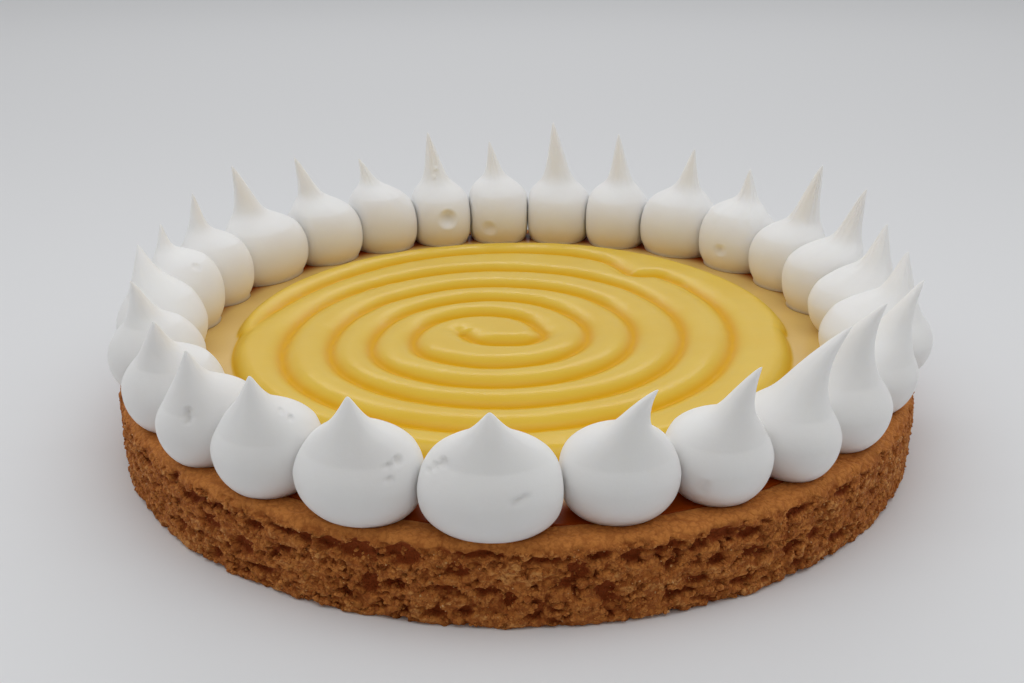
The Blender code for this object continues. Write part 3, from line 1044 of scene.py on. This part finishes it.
# Burst bubbles and slits, and with a negative depth drips: which kiss, then in millimetres the
# middle, the radius and the depth.
MARKS = (
    (0, -16.5, -104.8, 35.9, 1.2, 1.2), (0, -14.6, -105.6, 37.1, 1.4, 1.3),
    (0, -17.7, -104.4, 34.6, 0.8, 0.7), (0, -0.2, -111.6, 31.3, 1.0, 0.9),
    (0, 0.7, -111.5, 31.8, 1.0, 1.0), (0, 1.6, -111.2, 32.3, 0.9, 0.9),
    (2, 38.9, -96.8, 26.1, 1.8, 0.7), (2, 39.5, -97.4, 27.5, 1.5, 0.6),
    (7, 86.7, 10.8, 22.0, 2.8, -2.2), (9, 88.3, 48.4, 41.2, 2.4, 1.4),
    (10, 67.8, 57.1, 28.3, 2.2, 1.2), (14, -9.6, 87.6, 26.8, 2.8, 1.0),
    (15, -24.0, 84.5, 31.1, 3.5, 2.3), (15, -29.0, 98.0, 46.1, 1.1, 1.0),
    (15, -30.0, 96.8, 43.1, 1.3, 1.2), (15, -30.5, 91.4, 38.4, 1.2, 1.0),
    (20, -93.3, 9.4, 38.6, 1.8, 1.3), (20, -96.3, 12.5, 40.2, 1.3, 1.0),
    (24, -72.5, -79.3, 35.9, 1.0, 1.2), (24, -72.6, -79.6, 35.1, 1.0, 1.3),
    (24, -72.5, -80.0, 34.3, 1.0, 1.2), (24, -72.5, -80.2, 33.5, 0.9, 1.0),
    (25, -50.0, -88.7, 39.9, 1.2, 1.0), (25, -47.8, -88.4, 38.4, 1.0, 0.9),
    (26, -23.8, -102.1, 35.6, 1.4, 1.2), (26, -25.5, -103.6, 35.2, 1.0, 0.9),
    (26, -25.5, -104.9, 32.7, 1.0, 0.9),
)


@dataclass
class MeringueRing:
    """Twenty-seven kisses side by side, shaped from one blank."""

    finish: MeringueFinish
    seat_level: float = 0.0204
    seat_radius: float = 0.1000
    belly_radial: float = 0.0124
    belly_rise: float = 0.0088
    dome_rise: float = 0.0226
    full_dome: float = 1.64
    spiked_dome: float = 2.0
    usual_tip: float = 0.0484
    full_sink: float = 0.42
    spiked_sink: float = 0.12
    full_slope: float = 0.28
    short_gain: float = 45.0
    short_below: float = 0.0515
    tall_gain: float = 20.0
    tall_above: float = 0.0530
    spiked_slope: float = 0.20
    point_round: float = 0.030
    full_melt: float = 0.0026
    melt_gain: float = 0.20
    spiked_melt: float = 0.0033
    full_foot: float = 2.15
    spiked_foot: float = 2.45
    foot_depth: float = 0.0032
    full_fullness: float = 1.05
    spiked_fullness: float = 1.20
    squash_power: float = 12.0
    lip_depth: float = 0.09
    lip_height: float = 0.0005
    # Height of the painted curd bounce light on each kiss's inner foot.
    mask_height: float = 0.010
    upright_share: float = 0.12
    row_spread: float = 1.25
    clearance: float = 0.00001
    rows: int = 96
    steps: int = 96

    def outline(self, kiss: Kiss) -> tuple[np.ndarray, np.ndarray, np.ndarray]:
        """A kiss's outline from foot to point, closely spaced.

        Args:
            kiss: the kiss.

        Returns:
            The rise above the seat, the width as a share of the belly and the way along the
            outline from 0 to 1.
        """
        tip = MM * kiss.tip_height
        height = tip - self.seat_level
        if kiss.form is Form.SPIKED:
            sink, slope, power = self.spiked_sink, self.spiked_slope, self.spiked_foot
            bulge, melt = 2.0 / self.spiked_dome, self.spiked_melt
        else:
            short = max(0.0, self.short_below - tip)
            tall = max(0.0, tip - self.tall_above)
            sink, power = self.full_sink, self.full_foot
            slope = self.full_slope + self.short_gain * short + self.tall_gain * tall
            bulge, melt = 2.0 / self.full_dome, self.full_melt + self.melt_gain * tall
        dome_top = self.dome_rise - sink * (tip - self.usual_tip)
        low = np.linspace(0.0, self.belly_rise, 200, endpoint=False)
        level = (self.belly_rise - low) / (self.belly_rise + self.foot_depth)
        low_width = (1.0 - level**power) ** (1.0 / power)
        turn = np.linspace(0.0, QUARTER, 700)
        high_width = np.maximum(np.cos(turn), 0.0) ** bulge
        dome = self.belly_rise + (dome_top - self.belly_rise) * np.sin(turn) ** bulge
        spread = np.sqrt(high_width**2 + self.point_round**2) - self.point_round
        point = height - self.belly_radial * spread / slope
        high = melt * np.logaddexp(dome / melt, point / melt)
        stretch = height - self.belly_rise
        high = self.belly_rise + (high - high[0]) * stretch / (high[-1] - high[0])
        rise = np.concatenate([low, high])
        width = np.concatenate([low_width, high_width])
        steps = np.hypot(np.diff(rise), np.diff(width) * self.belly_radial)
        along = np.concatenate([[0.0], np.cumsum(steps)])
        return rise, width, along / along[-1]

    def blank(self) -> Piece:
        """The kiss that is copied: upright, with its rows' heights counting from foot to point."""
        section = [(0.0, 0.0), (0.35, 0.0), (0.62, 0.0), (0.85, 0.0)]
        section += [(1.0, index / self.rows) for index in range(self.rows)]
        return revolve("kiss_blank", section + [(0.0, 1.0)], self.steps)

    def angle_of(self, place: np.ndarray | float) -> np.ndarray | float:
        """Direction of a place on the ring, counted in kisses counter-clockwise from the front."""
        return -QUARTER + TURN * place / len(KISSES)

    def shape(self, number: int, blank: np.ndarray) -> tuple[np.ndarray, np.ndarray]:
        """Bend the blank into one kiss.

        Args:
            number: which kiss, from the front counter-clockwise.
            blank: the blank's vertices.

        Returns:
            The new positions and the mask of painted curd bounce light low on the inner side.
        """
        kiss = KISSES[number]
        spiked = kiss.form is Form.SPIKED
        before = KISSES[number - 1].seam - (len(KISSES) if number == 0 else 0)
        place = 0.5 * (before + kiss.seam)
        around = np.arctan2(blank[:, 1], blank[:, 0])
        inner_side = unit(-np.cos(around))
        fill = np.where(blank[:, 2] > 1e-6, 1.0, np.hypot(blank[:, 0], blank[:, 1]))
        rises, widths, alongs = self.outline(kiss)
        along = 1.0 - unit(1.0 - blank[:, 2]) ** self.row_spread
        rise = np.interp(along, alongs, rises)
        width = np.interp(along, alongs, widths)

        seat = self.seat_radius - MM * kiss.inward
        belly = self.belly_radial * kiss.girth
        climb = unit((rise - self.belly_rise) / (rises[-1] - self.belly_rise))
        outer = seat + belly + climb * (MM * kiss.reach - seat - belly)
        outer = outer - MM * kiss.bow * np.sin(math.pi * climb)
        upright = unit(climb / self.upright_share)
        centre = seat + upright * (np.maximum(seat, outer - belly * width) - seat)
        if spiked:
            width = width + self.lip_depth * np.exp(-rise / self.lip_height) * inner_side
        width = width * fill * self.unevenness(number, kiss.wear, around, along)
        radius = centre + belly * width * np.cos(around)

        low = self.angle_of(before) + self.clearance / radius
        high = self.angle_of(kiss.seam) - self.clearance / radius
        mid = 0.5 * (low + high)
        room = 0.5 * (high - low)
        middle = self.angle_of(place + climb**kiss.curl * (kiss.tip_place - place))
        fullness = self.spiked_fullness if spiked else self.full_fullness
        share = (middle + fullness * room * width * np.sin(around) - mid) / room
        power = self.squash_power
        widest = fullness / (1.0 + fullness**power) ** (1.0 / power)
        angle = mid + room * share / (1.0 + np.abs(share) ** power) ** (1.0 / power) / widest
        across, deep = radius * np.cos(angle), radius * np.sin(angle)
        points = np.stack([across, deep, self.seat_level + rise], axis=1)
        facing = self.angle_of(place)
        axis = seat * np.array([math.cos(facing), math.sin(facing), 0.0])
        self.press_marks(points, number, axis)
        # The second value is the mask of painted curd bounce light low on the inner side.
        return points, unit(1.0 - rise / self.mask_height) * inner_side

    @staticmethod
    def press_marks(points: np.ndarray, number: int, axis: np.ndarray) -> None:
        """Press a kiss's burst bubbles and slits into it, and raise its drips.

        Args:
            points: the kiss's vertices, which are moved.
            number: which kiss.
            axis: a point on the kiss's upright axis.
        """
        for owner, east, north, up, radius, depth in MARKS:
            if owner != number:
                continue
            middle = MM * np.array([east, north, up])
            inward = axis - middle
            inward[2] = 0.0
            inward /= np.linalg.norm(inward)
            share = np.linalg.norm(points - middle, axis=1) / (MM * radius)
            bowl = unit(1.0 - share**2) ** 1.5
            brim = 0.10 * np.exp(-(((share - 1.05) / 0.16) ** 2))
            points += (MM * depth * (bowl - brim))[:, None] * inward

    @staticmethod
    def unevenness(number: int, wear: Wear, around: np.ndarray, along: np.ndarray) -> np.ndarray:
        """How much wider or narrower than the plain shape the kiss is at each vertex.

        Args:
            number: which kiss.
            wear: how it came off the nozzle.
            around: direction round the kiss, in radians.
            along: way up its outline, from 0 to 1.

        Returns:
            A factor near 1 for each vertex.
        """
        probe = np.stack([np.cos(around), np.sin(around), 3.2 * along], axis=1)
        soft = 0.015 * smooth_noise(probe, 1.1, 100 + number)
        probe = np.stack([1.6 * np.cos(around), 1.6 * np.sin(around), 0.9 * along], axis=1)
        ridges = smooth_noise(probe, 0.42, 200 + number)
        return 1.0 + soft + wear.value * unit((along - 0.45) / 0.4) * ridges

    def build(self, effects: SharedEffects) -> list[Piece]:
        """Make every kiss.

        Args:
            effects: the shared node groups.

        Returns:
            The kisses in order.
        """
        blank = self.blank()
        template = read_points(blank)
        material = self.finish.material(effects)
        made = []
        for number in range(len(KISSES)):
            kiss = blank.copy()
            kiss.data = blank.data.copy()
            kiss.name = f"kiss_{number + 1:02d}"
            bpy.context.scene.collection.objects.link(kiss)
            points, foot = self.shape(number, template)
            write_points(kiss, points)
            # The foot mask carries the painted curd bounce light.
            write_mask(kiss, "foot", foot)
            kiss.data.shade_smooth()
            kiss.data.materials.append(material)
            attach(kiss, "root")
            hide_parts(f"meringue_{number + 1:02d}")
            made.append(kiss)
        bpy.data.objects.remove(blank, do_unlink=True)
        return made


@dataclass
class Studio:
    """The pale floor, the soft light and the camera."""

    camera_place: tuple[float, float, float] = (0.0, -0.306497, 0.146520)
    camera_lens: float = 40.252
    camera_pitch: float = -22.550
    camera_yaw: float = -0.22375
    camera_roll: float = -0.19345
    floor_size: float = 8.0
    floor_colour: tuple[int, int, int] = (232, 233, 235)
    room_colour: tuple[float, float, float] = (0.985, 0.99, 1.0)
    open_side_colour: tuple[float, float, float] = (1.0, 0.95, 0.82)
    room_strength: float = 0.60
    open_side_strength: float = 0.07
    top_power: float = 0.93
    top_place: tuple[float, float, float] = (0.0, -0.09, 0.50)
    top_size: tuple[float, float] = (1.0, 0.30)
    back_power: float = 1.3
    back_place: tuple[float, float, float] = (0.0, 0.90, 0.75)
    back_size: tuple[float, float] = (1.0, 0.10)

    def build(self) -> None:
        """Set up floor, room light, both lamps and camera."""
        self.lay_floor()
        self.light_room()
        self.hang_light("top_light", self.top_place, self.top_size, self.top_power)
        self.hang_light("back_light", self.back_place, self.back_size, self.back_power)
        self.stand_camera()
        bpy.context.scene.view_settings.view_transform = "Standard"

    def lay_floor(self) -> None:
        """A plain pale floor under the tart."""
        bpy.ops.object.select_all(action="DESELECT")
        bpy.ops.mesh.primitive_plane_add(size=self.floor_size, location=ORIGIN)
        floor = bpy.context.active_object
        floor.name = "studio_floor"
        material = bpy.data.materials.new("studio_floor")
        material.use_nodes = True
        tree = material.node_tree
        surface = {
            "Base Color": linear(*self.floor_colour),
            "Roughness": 0.8,
            "Specular IOR Level": 0.1,
        }
        feed(tree, tree.nodes["Principled BSDF"], surface)
        floor.data.materials.append(material)

    def light_room(self) -> None:
        """Even light from all round, but dim on the side where the camera stands."""
        world = bpy.data.worlds.new("studio_room")
        world.use_nodes = True
        tree = world.node_tree
        direction = add_node(tree, "TexCoord", {}).outputs["Generated"]
        depth = add_node(tree, "SeparateXYZ", {"Vector": direction}).outputs["Y"]
        ramp = {"Value": depth, "From Min": -1.00, "From Max": -0.35}
        share = add_node(tree, "MapRange", ramp, interpolation_type="SMOOTHSTEP")
        ramp |= {"To Min": self.open_side_strength, "To Max": self.room_strength}
        strength = add_node(tree, "MapRange", ramp, interpolation_type="SMOOTHSTEP")
        colours = {
            0: share.outputs["Result"],
            6: (*self.open_side_colour, 1.0),
            7: (*self.room_colour, 1.0),
        }
        tint = add_node(tree, "Mix", colours, data_type="RGBA").outputs[2]
        light = {"Strength": strength.outputs["Result"], "Color": tint}
        feed(tree, tree.nodes["Background"], light)
        bpy.context.scene.world = world

    @staticmethod
    def hang_light(
        name: str, place: tuple[float, float, float], size: tuple[float, float], power: float
    ) -> None:
        """Hang a soft panel that faces the tart.

        Args:
            name: the light's name.
            place: its middle.
            size: its width and height.
            power: its power in watts.
        """
        light = bpy.data.lights.new(name, "AREA")
        light.shape = "RECTANGLE"
        light.size, light.size_y = size
        light.energy = power
        lamp = bpy.data.objects.new(name, light)
        lamp.location = place
        aim = Vector((0.0, 0.0, 0.02)) - Vector(place)
        lamp.rotation_mode = "QUATERNION"
        lamp.rotation_quaternion = aim.to_track_quat("-Z", "Y")
        bpy.context.scene.collection.objects.link(lamp)

    def stand_camera(self) -> None:
        """The camera at the photograph's viewing angle."""
        yaw, pitch, roll = (
            math.radians(angle) for angle in (self.camera_yaw, self.camera_pitch, self.camera_roll)
        )
        ahead = math.cos(pitch)
        look = Vector((math.sin(yaw) * ahead, math.cos(yaw) * ahead, math.sin(pitch)))
        right = look.cross(Vector((0.0, 0.0, 1.0))).normalized()
        up = right.cross(look)
        side = math.cos(roll) * right + math.sin(roll) * up
        top = -math.sin(roll) * right + math.cos(roll) * up
        data = bpy.data.cameras.new("camera")
        data.lens = self.camera_lens
        data.sensor_width = 36.0
        data.clip_start = 0.01
        data.clip_end = 20.0
        camera = bpy.data.objects.new("camera", data)
        turn = Matrix((side, top, -look)).transposed().to_4x4()
        camera.matrix_world = Matrix.Translation(self.camera_place) @ turn
        bpy.context.scene.collection.objects.link(camera)
        bpy.context.scene.camera = camera


def main() -> None:
    """Build the tart's parts in order and report each one."""
    logging.basicConfig(level=logging.INFO, format="%(name)s: %(message)s")
    effects = SharedEffects()
    Studio().build()
    pastry = PastryFinish(
        name="baked_pastry", light=(208, 132, 62), dark=(180, 104, 42), tone_scale=330.0,
        grain_scale=800.0, grain_height=0.0006, grain_fine_share=0.36, roughness=0.80,
    )
    crumb = PastryFinish(
        name="pastry_crumb", light=(214, 142, 72), dark=(172, 100, 42), tone_scale=420.0,
        grain_scale=1400.0, grain_height=0.0001, grain_fine_share=0.45, roughness=0.82,
    )
    sugar = Finish(
        name="sugar", light=(224, 176, 116), dark=(196, 142, 82), tone_scale=700.0,
        grain_scale=1600.0, grain_height=0.00005, grain_fine_share=0.4, roughness=0.35,
    )
    curd = CurdFinish(
        name="glossy_curd", light=(230, 192, 52), dark=(228, 187, 40), tone_scale=60.0,
        grain_scale=420.0, grain_height=0.00006, grain_fine_share=0.5, roughness=0.27,
    )
    meringue = MeringueFinish(
        name="satin_meringue", light=(244, 244, 243), dark=(242, 241, 240), tone_scale=90.0,
        grain_scale=700.0, grain_height=0.00005, grain_fine_share=0.3, roughness=0.48,
        subsurface=0.65, soak_radius=(1.0, 0.98, 0.93), soak_scale=0.005,
    )
    pieces = PastryCase(pastry, crumb, sugar).build(effects)
    pieces.append(LemonCurd(curd).build(effects))
    pieces += MeringueRing(meringue).build(effects)
    for piece in pieces:
        log.info("%s: %d faces", piece.name, len(piece.data.polygons))


if __name__ == "__main__":
    main()
